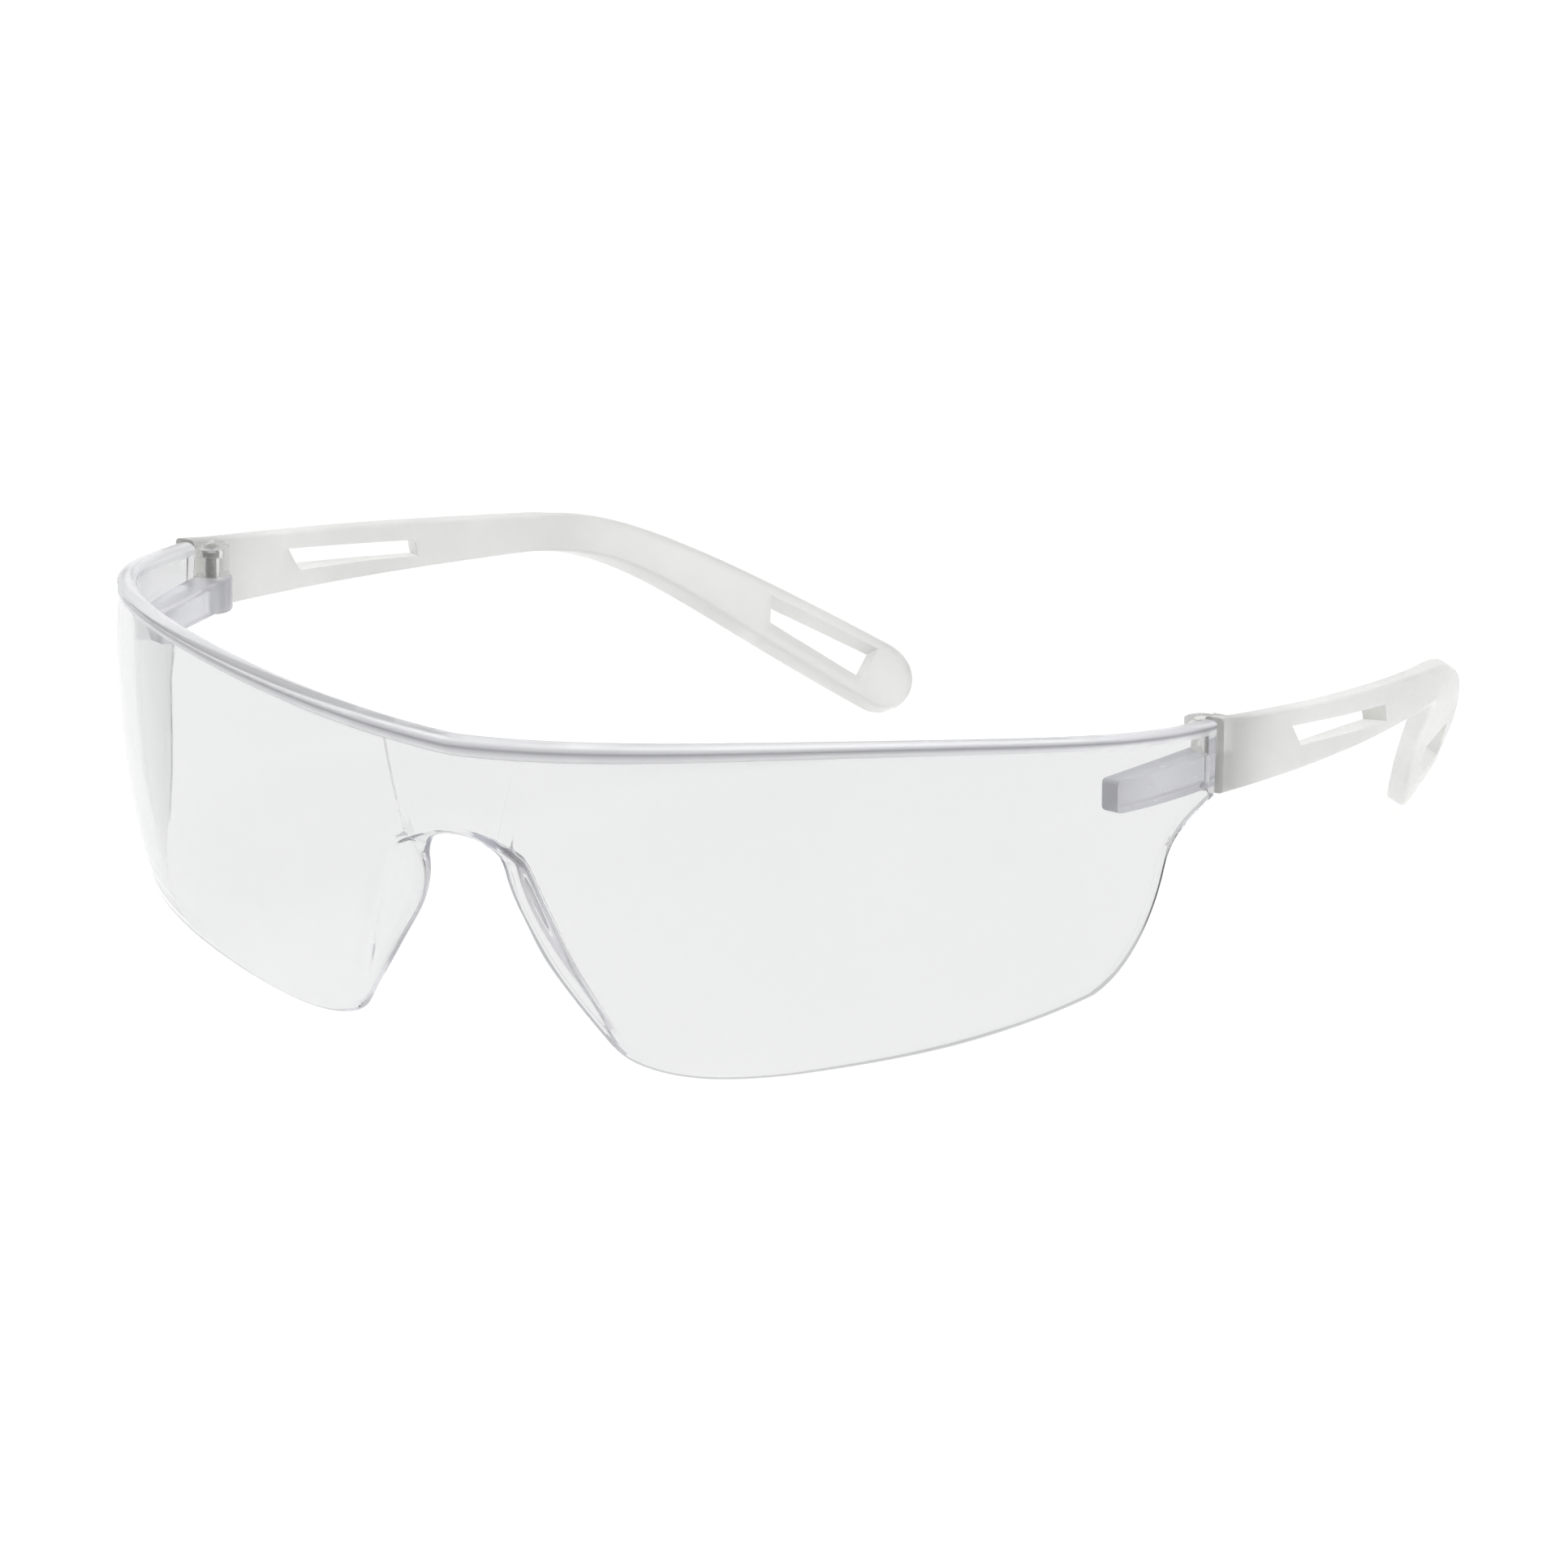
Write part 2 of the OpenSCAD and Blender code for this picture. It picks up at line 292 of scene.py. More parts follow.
def lens_point(q, z, out, front=0.0, column=0.0):
    """A point of the wall: out from its front surface at a plan angle and height."""
    p, n = plan_point(q), plan_out(q)
    d = out - sweep(q, z) - lean(p[..., 0], z) - front * bridge(column, p[..., 0], z)
    e = square(p[..., 0], z, out) * np.sign(q)
    along = np.stack([-n[..., 1], n[..., 0]], -1)
    return np.concatenate([p + n * d[..., None] + along * e[..., None], z[..., None]], -1)


# Lower outline of one half in plan angle and height, with the angle where each
# column meets the brow.
OUTLINE = [
    [[0, -12.8], [1.6, -12.8], [2.95, -13.7], [3.2, -16.6]],
    [[3.2, -16.6], [3.4, -22.4], [7, -29], [12, -36.6]],
    [[12, -36.6], [15, -41.2], [22, -41.4], [33.7, -38.7]],
    [[33.7, -38.7], [45, -35.9], [60, -32.8], [69.7, -30.1]],
    [[69.7, -30.1], [74.8, -27.8], [77.3, -21.7], [78.4, -16]],
    [[78.4, -16], [78.9, -12], [81.5, -10.9], [86, -8.9]]]
STEPS = [26, 44, 34, 40, 30, 22]
BROW_ANGLES = [0, 7.0, 17.0, 35.0, 64.0, 76.5, 86.0]
EVENING_ROUNDS, WALL_ROWS, WALL_BUNCH = 30, 54, 1.5
# Radius of the lower edge, round top of the bar, and the bead along its front.
RIM_R, CROWN, BELOW_CROWN = 0.9, 1.3, 0.7
BEAD, BEAD_FALL = 0.7, 0.75
# Rows at the foot of the bar: height above its lower edge, how far out they stand
# as a share of how proud the bar is, and share of the bridge step.
BAR_FOOT = [(0.3, 0.48, 0.0), (0.14, 0.38, 0.0), (0.04, 0.22, 0.3), (-0.05, 0.08, 0.7),
            (-0.16, 0.02, 1.0)]
# Rib behind each nose pad, which fades past the pads and is lower on the arch.
RIB, RIB_INSET, RIB_WIDE, RIB_END, RIB_FADE = 0.34, 2.1, 0.9, 10.5, 3.5
ARCH_RIB, ARCH_LOW, ARCH_FADE = 0.35, -14.5, 2.5


def half_stations():
    low, brow = [], []
    for c, (curve, steps) in enumerate(zip(OUTLINE, STEPS)):
        t = np.arange(steps) / steps
        low.append(bezier(curve, t))
        brow.append(mixed(BROW_ANGLES[c], BROW_ANGLES[c + 1], t))
    low.append(np.array([[SIDE, OUTLINE[-1][3][1]]], float))
    brow.append(np.array([SIDE]))
    low, brow = np.concatenate(low), np.concatenate(brow)
    # the angle on the brow runs smoothly from column to column
    for _ in range(EVENING_ROUNDS):
        brow[1:-1] = 0.25 * brow[:-2] + 0.5 * brow[1:-1] + 0.25 * brow[2:]
    # extra columns give the step of the bridge its two sharp creases
    for angle in (STEP_ANGLE - STEP_WIDE, STEP_ANGLE):
        k = int(np.searchsorted(brow, angle))
        t = (angle - brow[k - 1]) / (brow[k] - brow[k - 1])
        if 0.02 < t < 0.98:
            low = np.insert(low, k, mixed(low[k - 1], low[k], t), 0)
            brow = np.insert(brow, k, angle)
        else:
            brow[k if t > 0.5 else k - 1] = angle
    return low, brow


def inward(low):
    """Unit direction into the wall at the lower outline, in angle and height."""
    step = 0.05
    scale = np.linalg.norm(plan_point(low[:, 0] + step) - plan_point(low[:, 0] - step),
                           axis=-1) / (2 * step)
    lead = np.gradient(low, axis=0) * np.stack([scale, np.ones_like(scale)], -1)
    lead = unit(lead)
    lead[0] = (1, 0)
    return np.stack([-lead[:, 1] / scale, lead[:, 0]], -1), scale


def rib_share(low):
    pads = 1 - ramp((np.abs(low[:, 0]) - RIB_END) / RIB_FADE)
    return pads * mixed(ARCH_RIB, 1.0, ramp((ARCH_LOW - low[:, 1]) / ARCH_FADE))


def lens_loops():
    """Loops round the wall, from one side to the other: bar, front, lower edge, back."""
    low, brow = half_stations()
    into, scale = inward(low)
    low = np.concatenate([low[:0:-1] * (-1, 1), low])
    into = np.concatenate([into[:0:-1] * (-1, 1), into])
    scale = np.concatenate([scale[:0:-1], scale])
    ribs = rib_share(low)
    brow = np.concatenate([-brow[:0:-1], brow])
    high, tall = brow_z(brow), bar_height(brow)
    under = high - tall
    proud = PROUD - PROUD_LOSS * beside(brow)
    mid, half = (proud - WALL) / 2, (proud + WALL) / 2
    top = np.minimum(CROWN, tall - BELOW_CROWN)
    bead = tall / BAR_MID
    rows = []

    def bar(z, out, front=0.0):
        rows.append(lens_point(brow, z, out + 0 * z, front, brow))

    def crown(turn):
        a = math.radians(turn)
        round_top = top if turn > 90 else BEAD * bead
        bar(high - round_top * (1 - math.sin(a)), mid + half * math.cos(a))

    def edge(inset, out, front=0.0):
        q = np.clip(low[:, 0] + into[:, 0] * inset, -SIDE, SIDE)
        z = low[:, 1] + into[:, 1] * inset
        rows.append(lens_point(q, z, out + 0 * z, front, brow))

    def wall(out, front, upward):
        q0 = np.clip(low[:, 0] + into[:, 0] * RIM_R, -SIDE, SIDE)
        z0 = low[:, 1] + into[:, 1] * RIM_R
        last = under - BAR_FOOT[0][0] if front else high - top
        steps = range(1, WALL_ROWS) if upward else range(WALL_ROWS - 1, 0, -1)
        for i in steps:
            t = (i / WALL_ROWS) ** WALL_BUNCH
            q, z = mixed(q0, brow, t), mixed(z0, last, t)
            rib = 0.0
            if not front:
                inset = ((q - low[:, 0]) * scale ** 2 * into[:, 0]
                         + (z - low[:, 1]) * into[:, 1])
                rib = RIB * ribs * np.exp(-((inset - RIB_INSET) / RIB_WIDE) ** 2)
            rows.append(lens_point(q, z, out - rib + 0 * z, front, brow))

    for turn in (90, 75, 60, 45, 30, 15, 0):
        crown(turn)
    for t in (0.2, 0.35, 0.5, 0.65, 0.8, 1.0):
        bar(high - bead * (BEAD + BEAD_FALL * t), proud * (1 - 0.5 * float(ramp(t))))
    for rise, share, front in BAR_FOOT:
        bar(under + rise, proud * share, front)
    wall(0.0, 1.0, False)
    for turn in range(0, 181, 18):
        a = math.radians(turn)
        edge(RIM_R * (1 - math.sin(a)), WALL / 2 * (math.cos(a) - 1), 1 - turn / 180)
    wall(-WALL, 0.0, True)
    for turn in (180, 168, 150, 135, 120, 105):
        crown(turn)
    return np.stack(rows, 1)


# Hinge sizes, shared by the lens ears, the temple knuckles and the screws.
SCREW_X, SET_BACK = 69.0, -0.3
EAR_LOW, ARM_LOW, EAR_HIGH = -8.15, -7.7, -3.75
KNUCKLE_LOW, KNUCKLE_HIGH = -3.65, -0.2
EAR_R, KNUCKLE_R, SHANK_R, HEAD_R = 2.6, 2.2, 0.6, 0.95
HEAD_SEAT, HEAD_TOP, SCREW_END, GAP = -1.35, -0.55, -7.8, 0.06
ARM_FRONT = -17.8
SMALL_SIDES, SMOOTH_ANGLE = 48, 32


def ear_pieces():
    arm = prism("arm", [(66.4, -0.3), (65.6, -9), (64.7, -17.4), (68.1, ARM_FRONT),
                        (69.8, -11), (70.5, -3.4), (71, -0.3)], ARM_LOW, EAR_HIGH)
    ear = round_bar("ear", SCREW_X, SET_BACK, EAR_LOW, EAR_HIGH, EAR_R)
    soften(arm, width=0.6, angle=40, segments=4)
    soften(ear, width=0.5, angle=60, segments=4)
    return combine(arm, [ear], "UNION")


def make_lens():
    lens = skin("lens_body", lens_loops())
    ear = ear_pieces()
    other = mirrored(ear, "ear_other")
    combine(lens, [ear, other], "UNION")
    bores = [round_bar("bore", side * SCREW_X, SET_BACK, SCREW_END, EAR_HIGH + 2, SHANK_R,
                       SMALL_SIDES) for side in (-1, 1)]
    combine(lens, bores, "DIFFERENCE")
    return shade(lens, SMOOTH_ANGLE)


# ---------------------------------------------------------------------------
# Temples, drawn for the +X side
# ---------------------------------------------------------------------------
ARM_X, BOW, PLATE = 71.6, 0.0021, 2.6
BEND_Y, FRONT_END, TIP = 62.0, -2.1, 4.8
# Upper and lower edge of the straight arm at the hinge, and their fall to the back.
TOP_AT, TOP_FALL, LOW_AT, LOW_FALL = 0.15, 0.153, -8.55, 0.088
# Near the hinge the upper edge rises a little more.
SHOULDER, SHOULDER_END, SHOULDER_WIDE = 0.25, 4.5, 7
EDGE_R, STATIONS, REAR_STATIONS, TIP_STATIONS = 0.55, 27, 45, 18
TIP_TURN, TIP_ROUND = 86, 0.8
# Web from the knuckle to the plate, and the room cut for the ear; the cuts end
# clear of the plate.
WEB_WIDE, WEB_FRONT, WEB_BACK = 2, 1.1, 2.7
ROOM_IN, ROOM_OUT, ROOM_FRONT, ROOM_GAP = 4, 2.4, -6, 0.25
CUT_LOW, CUT_HIGH = -12, 2


def arm_mid(y):
    return ARM_X - BOW * y * y


def arm_top(y):
    return TOP_AT + SHOULDER * ramp((SHOULDER_END - y) / SHOULDER_WIDE) - TOP_FALL * y


def arm_low(y):
    return LOW_AT - LOW_FALL * y


REAR_TOP = [[arm_mid(BEND_Y), BEND_Y, float(arm_top(BEND_Y))], [61.1, 74.6, -10.7],
            [55.9, 86.5, -17.3], [39.5, 108.4, -33.4]]
REAR_LOW = [[arm_mid(BEND_Y), BEND_Y, float(arm_low(BEND_Y))], [57, 77, -16.2],
            [52.2, 78.5, -22.2], [38, 101.5, -39.4]]


def temple_loops():
    """Loops round the plate from the hinge to the tip, with its edges rounded."""
    tops, lows, leads = [], [], []
    y = np.linspace(FRONT_END, BEND_Y, STATIONS + 1)[:-1]
    tops.append(np.stack([arm_mid(y), y, arm_top(y)], -1))
    lows.append(np.stack([arm_mid(y), y, arm_low(y)], -1))
    leads.append(unit(np.stack([-2 * BOW * y, np.ones_like(y), 0 * y], -1)))
    t = np.linspace(0, 1, REAR_STATIONS)
    tops.append(bezier(REAR_TOP, t))
    lows.append(bezier(REAR_LOW, t))
    leads.append(unit(unit(bezier_lead(REAR_TOP, t)) + unit(bezier_lead(REAR_LOW, t))))
    lead = leads[-1][-1]
    mid = (tops[-1][-1] + lows[-1][-1]) / 2
    half = (tops[-1][-1] - lows[-1][-1]) / 2
    for i in range(1, TIP_STATIONS + 1):
        a = math.radians(TIP_TURN) * i / TIP_STATIONS
        m, h = mid + lead * TIP * math.sin(a), half * math.cos(a) ** TIP_ROUND
        tops.append((m + h)[None])
        lows.append((m - h)[None])
        leads.append(lead[None])
    tops, lows, leads = (np.concatenate(v) for v in (tops, lows, leads))
    down = unit(lows - tops)
    out = unit(np.cross(leads, down)) * PLATE / 2
    tall = np.linalg.norm(lows - tops, axis=-1)
    r = np.minimum(EDGE_R, tall * 0.45)
    loops = []
    turns = np.linspace(0, math.pi / 2, 5)
    for side, edge, sign in ((1, tops, 1), (-1, tops, 1), (-1, lows, -1), (1, lows, -1)):
        first_flat = (side == 1 and sign == 1) or (side == -1 and sign == -1)
        for a in (turns if first_flat else turns[::-1]):
            across = 1 - EDGE_R / (PLATE / 2) * (1 - math.cos(a))
            along = r * (1 - math.sin(a))
            loops.append(edge + sign * down * along[:, None] + side * out * across)
    return np.stack(loops, 1)


# Corners of the front slot on each face of the plate, in Y and Z, and of the rear
# slot, as shares of the way along and down the plate. REACH is how far the front
# cut goes from the middle of the plate.
OUTER_SLOT = [(14.9, -4.2), (43.4, -8.8), (43.9, -11), (17.3, -7.2)]
INNER_SLOT = [(17.6, -4.7), (41.3, -8.5), (42.1, -10.7), (19.9, -7.9)]
REAR_SLOT = [(0.777, 0.22), (0.985, 0.17), (0.975, 0.73), (0.785, 0.68)]
REACH = 2.0


def front_corner(k, side):
    o, i = np.array(OUTER_SLOT[k]), np.array(INNER_SLOT[k])
    m, d = (o + i) / 2, (o - i) / 2
    p = m + d * side * REACH / (PLATE / 2)
    return (arm_mid(m[0]) + side * REACH, p[0], p[1])


def rear_corner(t, w, side):
    top, low = bezier(REAR_TOP, t), bezier(REAR_LOW, t)
    out = unit(np.cross(unit(bezier_lead(REAR_TOP, t)), unit(low - top))) * PLATE
    return mixed(top, low, w) + side * out


def make_temple():
    temple = skin("temple_plate", temple_loops())
    knuckle = round_bar("knuckle", SCREW_X, SET_BACK, KNUCKLE_LOW, KNUCKLE_HIGH, KNUCKLE_R)
    web = block("web", SCREW_X, SCREW_X + WEB_WIDE, SET_BACK - WEB_FRONT, SET_BACK + WEB_BACK,
                KNUCKLE_LOW, KNUCKLE_HIGH)
    combine(temple, [knuckle, web], "UNION")
    pocket = round_bar("pocket", SCREW_X, SET_BACK, CUT_LOW, KNUCKLE_LOW, EAR_R + ROOM_GAP)
    room = block("room", SCREW_X - ROOM_IN, SCREW_X + ROOM_OUT, ROOM_FRONT, SET_BACK,
                 CUT_LOW, KNUCKLE_LOW)
    hole = round_bar("hole", SCREW_X, SET_BACK, -6, CUT_HIGH, SHANK_R + GAP, SMALL_SIDES)
    seat = round_bar("seat", SCREW_X, SET_BACK, HEAD_SEAT - GAP, CUT_HIGH,
                     HEAD_R + GAP, SMALL_SIDES)
    front = tunnel("front", [front_corner(k, 1) for k in range(4)],
                   [front_corner(k, -1) for k in range(4)])
    rear = tunnel("rear", [rear_corner(t, w, -1) for t, w in REAR_SLOT],
                  [rear_corner(t, w, 1) for t, w in REAR_SLOT])
    combine(temple, [pocket, room, hole, seat, front, rear], "DIFFERENCE")
    return shade(temple, SMOOTH_ANGLE)


# ---------------------------------------------------------------------------
# Hinge screws: turned head with a driver slot on a plain shank
# ---------------------------------------------------------------------------
DRIVER, DRIVER_DEEP = 0.15, 0.35


def make_screw(name, side):
    x = side * SCREW_X
    profile = [(0.0, SCREW_END), (SHANK_R - 0.12, SCREW_END), (SHANK_R, SCREW_END + 0.14),
               (SHANK_R, HEAD_SEAT), (HEAD_R - 0.05, HEAD_SEAT), (HEAD_R, HEAD_SEAT + 0.05),
               (HEAD_R, HEAD_TOP - 0.24), (HEAD_R - 0.07, HEAD_TOP - 0.12),
               (HEAD_R - 0.22, HEAD_TOP - 0.03), (0.0, HEAD_TOP)]
    sides, points, faces = SMALL_SIDES, [], []
    rings = profile[1:-1]
    for r, z in rings:
        for k in range(sides):
            a = 2 * math.pi * k / sides
            points.append((x + r * math.cos(a), SET_BACK + r * math.sin(a), z))
    for i in range(len(rings) - 1):
        for k in range(sides):
            n = (k + 1) % sides
            faces.append((i * sides + k, i * sides + n, (i + 1) * sides + n, (i + 1) * sides + k))
    points += [(x, SET_BACK, SCREW_END), (x, SET_BACK, HEAD_TOP)]
    low, top, last = len(points) - 2, len(points) - 1, (len(rings) - 1) * sides
    for k in range(sides):
        n = (k + 1) % sides
        faces += [(low, n, k), (top, last + k, last + n)]
    screw = outward(add_mesh(name, points, faces))
    cut = block("cut", x - 2, x + 2, SET_BACK - DRIVER, SET_BACK + DRIVER,
                HEAD_TOP - DRIVER_DEEP, 1)
    combine(screw, [cut], "DIFFERENCE")
    return shade(screw, 40)


# ---------------------------------------------------------------------------
# Materials
# ---------------------------------------------------------------------------
# Most of a noise texture's values lie between these two.
NOISE_LOW, NOISE_HIGH = 0.3, 0.7


class Nodes:
    """A node material with one main shader, built up call by call."""

    def __init__(self, name):
        self.material = bpy.data.materials.new(name)
        self.material.use_nodes = True
        self.tree = self.material.node_tree
        self.tree.nodes.clear()
        self.output = self.add("ShaderNodeOutputMaterial")
        self.shader = self.add("ShaderNodeBsdfPrincipled")

    def add(self, kind, **values):
        node = self.tree.nodes.new(kind)
        for key, value in values.items():
            setattr(node, key, value)
        return node

    def link(self, a, b):
        self.tree.links.new(a, b)

    def noise(self, scale, detail=2.0, rough=0.5):
        node = self.add("ShaderNodeTexNoise")
        node.inputs["Scale"].default_value = scale
        node.inputs["Detail"].default_value = detail
        node.inputs["Roughness"].default_value = rough
        where = self.add("ShaderNodeTexCoord")
        self.link(where.outputs["Object"], node.inputs["Vector"])
        return node.outputs["Fac"]

    def fit(self, value, low, high):
        """Stretches noise over a range."""
        node = self.add("ShaderNodeMapRange")
        for key, number in (("From Min", NOISE_LOW), ("From Max", NOISE_HIGH),
                            ("To Min", low), ("To Max", high)):
            node.inputs[key].default_value = number
        self.link(value, node.inputs["Value"])
        return node.outputs["Result"]

    def blend(self, factor, a, b):
        node = self.add("ShaderNodeMix", data_type="RGBA")
        self.link(factor, node.inputs["Factor"])
        node.inputs["A"].default_value = (*a, 1)
        node.inputs["B"].default_value = (*b, 1)
        return node.outputs["Result"]

    def shaded(self, tint, dark):
        """Mixes a tint with a darker, painted shade tint by the shade attribute of the mesh."""
        mark = self.add("ShaderNodeAttribute", attribute_name="shade")
        both = self.add("ShaderNodeMix", data_type="RGBA")
        self.link(mark.outputs["Fac"], both.inputs["Factor"])
        self.link(tint, both.inputs["A"])
        both.inputs["B"].default_value = (*dark, 1)
        return both.outputs["Result"]

    def bump(self, height, strength, distance, under=None):
        node = self.add("ShaderNodeBump")
        node.inputs["Strength"].default_value = strength
        node.inputs["Distance"].default_value = distance
        self.link(height, node.inputs["Height"])
        if under is not None:
            self.link(under, node.inputs["Normal"])
        return node.outputs["Normal"]

    def set(self, **values):
        for key, value in values.items():
            self.shader.inputs[key.replace("_", " ")].default_value = value

    def finish(self, lamps_pass=None):
        """With lamps_pass, light from lamps passes the clear wall in that tint."""
        if lamps_pass is None:
            self.link(self.shader.outputs[0], self.output.inputs["Surface"])
            return self.material
        path = self.add("ShaderNodeLightPath")
        through = self.add("ShaderNodeBsdfTransparent")
        through.inputs["Color"].default_value = (*lamps_pass, 1)
        choose = self.add("ShaderNodeMixShader")
        self.link(path.outputs["Is Shadow Ray"], choose.inputs[0])
        self.link(self.shader.outputs[0], choose.inputs[1])
        self.link(through.outputs[0], choose.inputs[2])
        self.link(choose.outputs[0], self.output.inputs["Surface"])
        return self.material


def clear_plastic():
    m = Nodes("clear_polycarbonate")
    m.set(Transmission_Weight=1.0, IOR=1.5)
    tint = m.blend(m.fit(m.noise(40, 2), 0, 1), (0.748, 0.750, 0.750), (0.758, 0.758, 0.756))
    m.link(tint, m.shader.inputs["Base Color"])
    m.link(m.fit(m.noise(900, 4, 0.6), 0.012, 0.04), m.shader.inputs["Roughness"])
    waves = m.bump(m.noise(70, 1), 0.06, 0.0004)
    m.link(waves, m.shader.inputs["Normal"])
    return m.finish(lamps_pass=(0.98, 0.98, 0.98))


def hazy_plastic(name, clearness, low, high, rough, shaded=None):
    """Less clear moulded plastic; shaded is its painted shade tint where the shade attribute is
    1.
    """
    m = Nodes(name)
    m.set(Transmission_Weight=clearness, IOR=1.5)
    tint = m.blend(m.fit(m.noise(90, 3), 0, 1), low, high)
    if shaded:
        tint = m.shaded(tint, shaded)
    m.link(tint, m.shader.inputs["Base Color"])
    m.link(m.fit(m.noise(700, 4, 0.6), *rough), m.shader.inputs["Roughness"])
    m.link(m.bump(m.noise(90, 2), 0.12, 0.0004), m.shader.inputs["Normal"])
    return m.finish(lamps_pass=(0.90, 0.90, 0.92))


def frosted_plastic():
    m = Nodes("frosted_polycarbonate")
    m.set(Transmission_Weight=0.45, IOR=1.5)
    tint = m.blend(m.fit(m.noise(60, 4, 0.6), 0, 1), (0.79, 0.79, 0.775),
                   (0.88, 0.88, 0.865))
    # Painted shade: the tint darkens at the hinge end of the temple, where the shade attribute is
    # set.
    tint = m.shaded(tint, (0.60, 0.60, 0.585))
    m.link(tint, m.shader.inputs["Base Color"])
    m.link(m.fit(m.noise(1500, 5, 0.65), 0.28, 0.46), m.shader.inputs["Roughness"])
    grain = m.bump(m.noise(3500, 4, 0.7), 0.25, 0.00008)
    m.link(m.bump(m.noise(120, 2), 0.10, 0.0004, grain), m.shader.inputs["Normal"])
    return m.finish(lamps_pass=(0.90, 0.90, 0.89))


def knuckle_plastic():
    m = Nodes("smooth_polycarbonate")
    m.set(Transmission_Weight=0.88, IOR=1.5)
    tint = m.blend(m.fit(m.noise(300, 3), 0, 1), (0.80, 0.80, 0.78), (0.88, 0.88, 0.86))
    m.link(tint, m.shader.inputs["Base Color"])
    m.link(m.fit(m.noise(1200, 4, 0.6), 0.06, 0.14), m.shader.inputs["Roughness"])
    m.link(m.bump(m.noise(400, 2), 0.15, 0.0002), m.shader.inputs["Normal"])
    return m.finish(lamps_pass=(0.80, 0.80, 0.79))


def dark_steel():
    m = Nodes("screw_steel")
    m.set(Metallic=1.0)
    tint = m.blend(m.fit(m.noise(2500, 4), 0, 1), (0.24, 0.245, 0.25), (0.42, 0.42, 0.43))
    m.link(tint, m.shader.inputs["Base Color"])
    m.link(m.fit(m.noise(4000, 5), 0.25, 0.5), m.shader.inputs["Roughness"])
    m.link(m.bump(m.noise(6000, 4), 0.2, 0.00004), m.shader.inputs["Normal"])
    return m.finish()


# ---------------------------------------------------------------------------
# Pieces
# ---------------------------------------------------------------------------
# Painted shade: a grey band below the top of the bar and a grey lip on the arch, standing in for
# dark refraction in the clear plastic.
SHADE_BAND_DROP, SHADE_BAND_WIDE, SHADE_BAND_DEEP = 1.15, 0.42, 0.6
BELOW_BAR, LIP_SHADE_LOW, LIP_SHADE_FADE = 8, -17.5, 2.5
# How far round the notch has a rim, in plan angle, in width and in height.
NOTCH_SIDE, NOTCH_X, NOTCH_TOP = 26.0, 24, -11
# How far back from the hinge a temple gets painted shade, and how far the knuckle reaches.
HINGE_SHADE_REACH, KNUCKLE_BACK = 6.5, 2.6
CLEAR, BAR, EAR, RIM = 0, 1, 2, 3


def places(items, key):
    """Where the faces or vertices are, in millimetres around the hinge line."""
    flat = np.zeros(len(items) * 3)
    items.foreach_get(key, flat)
    return flat.reshape(-1, 3) / MM - (0.0, FORWARD, LIFT)


def set_shade(obj, values):
    marks = obj.data.attributes.new("shade", "FLOAT", "POINT")
    marks.data.foreach_set("value", values.astype(np.float32))


def lens_place(points):
    """Depth from the front surface, drop from the brow and bar height at points."""
    x, y, z = points.T
    u, v = np.abs(x) / HALF_WIDTH, np.abs(y - WRAP_CENTRE) / WRAP_DEPTH
    q = np.degrees(np.arctan2(u ** (FULLNESS / 2), v ** (FULLNESS / 2)))
    p, n = plan_point(q), plan_out(q)
    depth = (np.abs(x) - p[:, 0]) * n[:, 0] + (y - p[:, 1]) * n[:, 1] + sweep(q, z)
    return depth, brow_z(q) - z, bar_height(q)


def lens_faces(obj):
    """Which faces are the clear wall, the brow bar, the hinge ears and the notch's rim."""
    centres = places(obj.data.polygons, "center")
    depth, drop, tall = lens_place(centres)
    kind = np.where(drop < tall + 0.02, BAR, CLEAR)
    kind[(centres[:, 1] > ARM_FRONT - 0.5) & (depth < -WALL - 0.15)] = EAR
    low = half_stations()[0]
    low = low[low[:, 0] < NOTCH_SIDE]
    rim = lens_point(low[:, 0], low[:, 1], np.full(len(low), -WALL / 2))
    near = np.flatnonzero((np.abs(centres[:, 0]) < NOTCH_X) & (centres[:, 2] < NOTCH_TOP))
    half = centres[near]
    half[:, 0] = np.abs(half[:, 0])
    gap = np.array([np.linalg.norm(rim - point, axis=1).min() for point in half])
    kind[near[gap < RIM_R + 0.05]] = RIM
    return kind


def shade_lens(obj):
    """Marks painted shade: a band under the bead of the brow bar, and the lip of the arch."""
    points = places(obj.data.vertices, "co")
    depth, drop, tall = lens_place(points)
    band = np.exp(-((drop * BAR_MID / tall - SHADE_BAND_DROP) / SHADE_BAND_WIDE) ** 2)
    band[depth < -SHADE_BAND_DEEP] = 0
    set_shade(obj, np.where(drop > BELOW_BAR, ramp((points[:, 2] - LIP_SHADE_LOW) / LIP_SHADE_FADE), band))


def shade_temple(obj):
    """Marks painted shade at the hinge end of a temple, standing in for the darker knuckle seen
    through the plate.
    """
    y = places(obj.data.vertices, "co")[:, 1]
    set_shade(obj, np.exp(-(y / HINGE_SHADE_REACH) ** 2))


def smooth_faces(obj):
    """The knuckle, which stands inside the temple plate at the hinge."""
    x, y, z = places(obj.data.polygons, "center").T
    inside = np.abs(x) < ARM_X - PLATE / 2 + 0.05
    return inside & (y < KNUCKLE_BACK) & (z > KNUCKLE_LOW - 0.1)


def dress(obj, name, materials, body, node, kinds=None):
    obj.name = obj.data.name = name
    obj.data.materials.clear()
    for material in materials:
        obj.data.materials.append(material)
    if kinds is not None:
        obj.data.polygons.foreach_set("material_index", np.int32(kinds))
        obj.data.update()
    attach(obj, body)
    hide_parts(node)


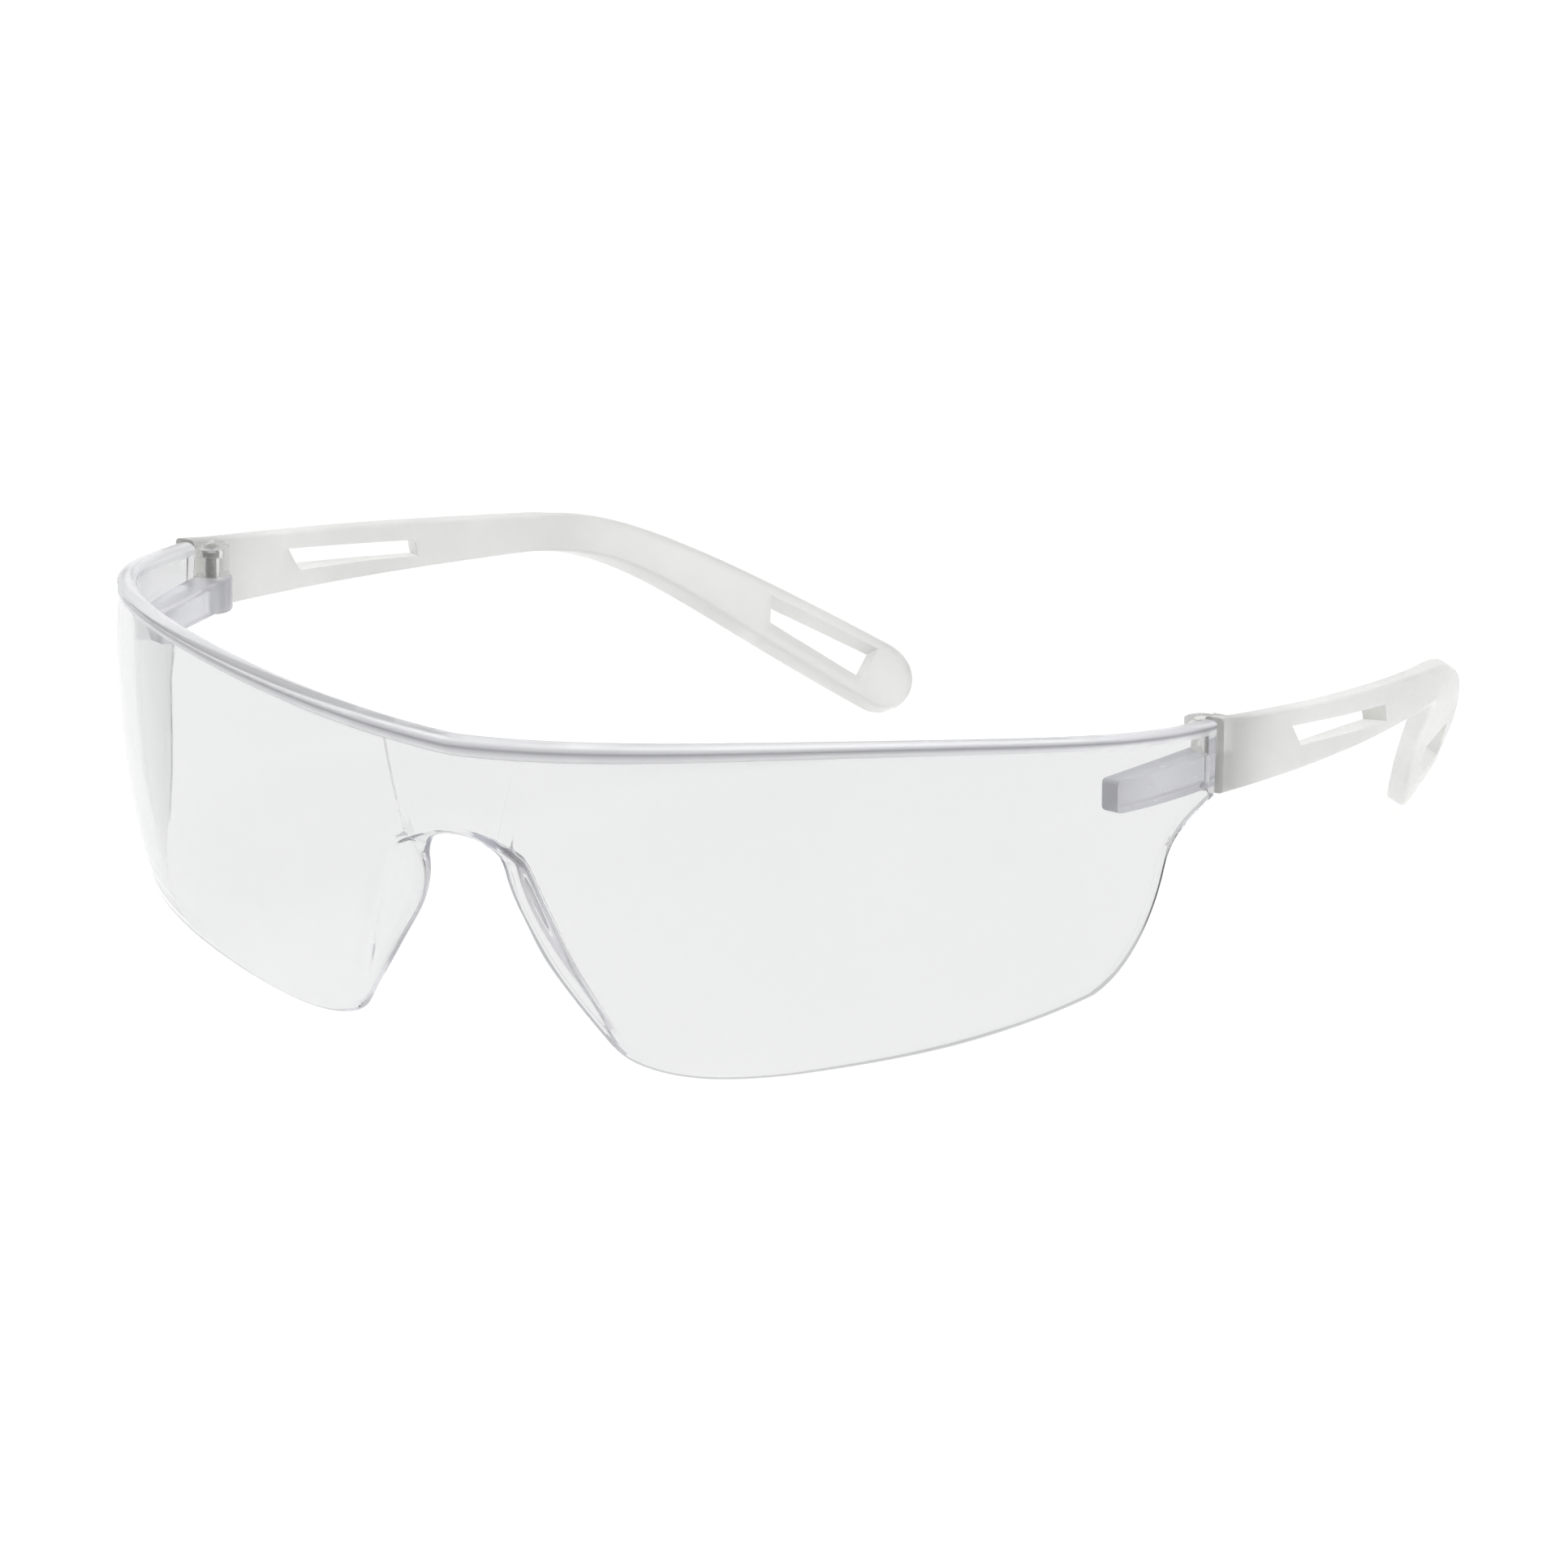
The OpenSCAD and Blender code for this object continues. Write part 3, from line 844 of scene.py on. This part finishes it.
clear, frosted, steel = clear_plastic(), frosted_plastic(), dark_steel()
smooth = knuckle_plastic()
# The brow bar's darker tint is painted shade, laid where the shade attribute marks the band under
# its bead.
bar = hazy_plastic("brow_bar", 0.52, (0.84, 0.84, 0.85), (0.89, 0.89, 0.90), (0.14, 0.26),
                   (0.30, 0.30, 0.32))
ear = hazy_plastic("hinge_ear", 0.55, (0.64, 0.64, 0.675), (0.74, 0.74, 0.765), (0.16, 0.28))
# The notch rim's darker tint is painted shade, on the lip of the arch.
rim = hazy_plastic("notch_rim", 0.42, (0.70, 0.70, 0.73), (0.78, 0.78, 0.81), (0.10, 0.2),
                   (0.36, 0.36, 0.42))
lens = make_lens()
shade_lens(lens)
dress(lens, "clear_lens", [clear, bar, ear, rim], "front", "lens", lens_faces(lens))
left = make_temple()
shade_temple(left)
right = mirrored(left, "temple_mirrored")
for temple, word in ((left, "left"), (right, "right")):
    dress(temple, word + "_temple_arm", [frosted, smooth], word + "_temple",
          "temple_" + word, smooth_faces(temple))
for side, word in ((1, "left"), (-1, "right")):
    dress(make_screw("screw", side), word + "_hinge_screw", [steel], "front",
          "hinge_screw_" + word)


# ---------------------------------------------------------------------------
# Floor, light and camera
# ---------------------------------------------------------------------------
def floor_material():
    m = Nodes("pale_floor")
    m.set(Base_Color=(0.93, 0.93, 0.93, 1), Roughness=0.8, Specular_IOR_Level=0.1)
    return m.finish()


FLOOR_HALF, FLOOR_GAP = 9.0, 0.0004


def make_floor():
    size = FLOOR_HALF
    mesh = bpy.data.meshes.new("floor")
    mesh.from_pydata([(-size, -size, 0), (size, -size, 0), (size, size, 0), (-size, size, 0)],
                     [], [(0, 1, 2, 3)])
    floor = bpy.data.objects.new("floor", mesh)
    bpy.context.scene.collection.objects.link(floor)
    floor.location = (0, 0, cad_box[0][2] - FLOOR_GAP)
    mesh.materials.append(floor_material())


def softbox(name, place, target, size, power):
    light = bpy.data.lights.new(name, "AREA")
    light.size = size
    light.energy = power
    obj = bpy.data.objects.new(name, light)
    obj.location = place
    obj.rotation_euler = (Vector(target) - Vector(place)).to_track_quat("-Z", "Y").to_euler()
    bpy.context.scene.collection.objects.link(obj)


def make_world():
    """A pale studio, darker low down in front where the camera stands."""
    world = bpy.data.worlds.new("studio")
    bpy.context.scene.world = world
    world.use_nodes = True
    tree = world.node_tree
    where = tree.nodes.new("ShaderNodeTexCoord")
    split = tree.nodes.new("ShaderNodeSeparateXYZ")
    tree.links.new(where.outputs["Generated"], split.inputs[0])
    back = tree.nodes.new("ShaderNodeMapRange")
    back.interpolation_type = "SMOOTHSTEP"
    for key, number in (("From Min", -0.75), ("From Max", 0.15),
                        ("To Min", 0.18), ("To Max", 0.75)):
        back.inputs[key].default_value = number
    tree.links.new(split.outputs["Y"], back.inputs["Value"])
    background = tree.nodes["Background"]
    background.inputs["Color"].default_value = (0.98, 0.985, 1.0, 1)
    tree.links.new(back.outputs["Result"], background.inputs["Strength"])


def make_light():
    make_world()
    softbox("overhead", (0.0, 0.3, 2.2), (0, 0.1, 0), 2.6, 38)
    softbox("key", (1.5, -1.2, 1.6), (0, 0, 0), 1.0, 3.5)
    softbox("fill", (-1.6, -0.8, 1.1), (0, 0, 0), 0.9, 5)


FOCUS_MM, SENSOR_MM = 372.67, 36.0
CAMERA_AT = (0.9716, -1.60277, 0.5533)
CAMERA_RIGHT = (0.8526, 0.5225, 0.0096)
CAMERA_UP = (-0.1521, 0.2305, 0.9611)


def make_camera():
    data = bpy.data.cameras.new("camera")
    data.lens, data.sensor_width, data.sensor_height = FOCUS_MM, SENSOR_MM, SENSOR_MM
    data.clip_start, data.clip_end = 0.05, 60
    camera = bpy.data.objects.new("camera", data)
    right = Vector(CAMERA_RIGHT).normalized()
    back = right.cross(Vector(CAMERA_UP)).normalized()
    up = back.cross(right)
    turn = Matrix((right, up, back)).transposed()
    camera.matrix_world = Matrix.Translation(CAMERA_AT) @ turn.to_4x4()
    bpy.context.scene.collection.objects.link(camera)
    bpy.context.scene.camera = camera


make_floor()
make_light()
make_camera()
scene = bpy.context.scene
scene.view_settings.view_transform = "Standard"
scene.view_settings.look = "None"
scene.cycles.use_denoising = True
scene.cycles.max_bounces = 24
scene.cycles.transmission_bounces = 24
scene.cycles.glossy_bounces = 12
scene.cycles.transparent_max_bounces = 24
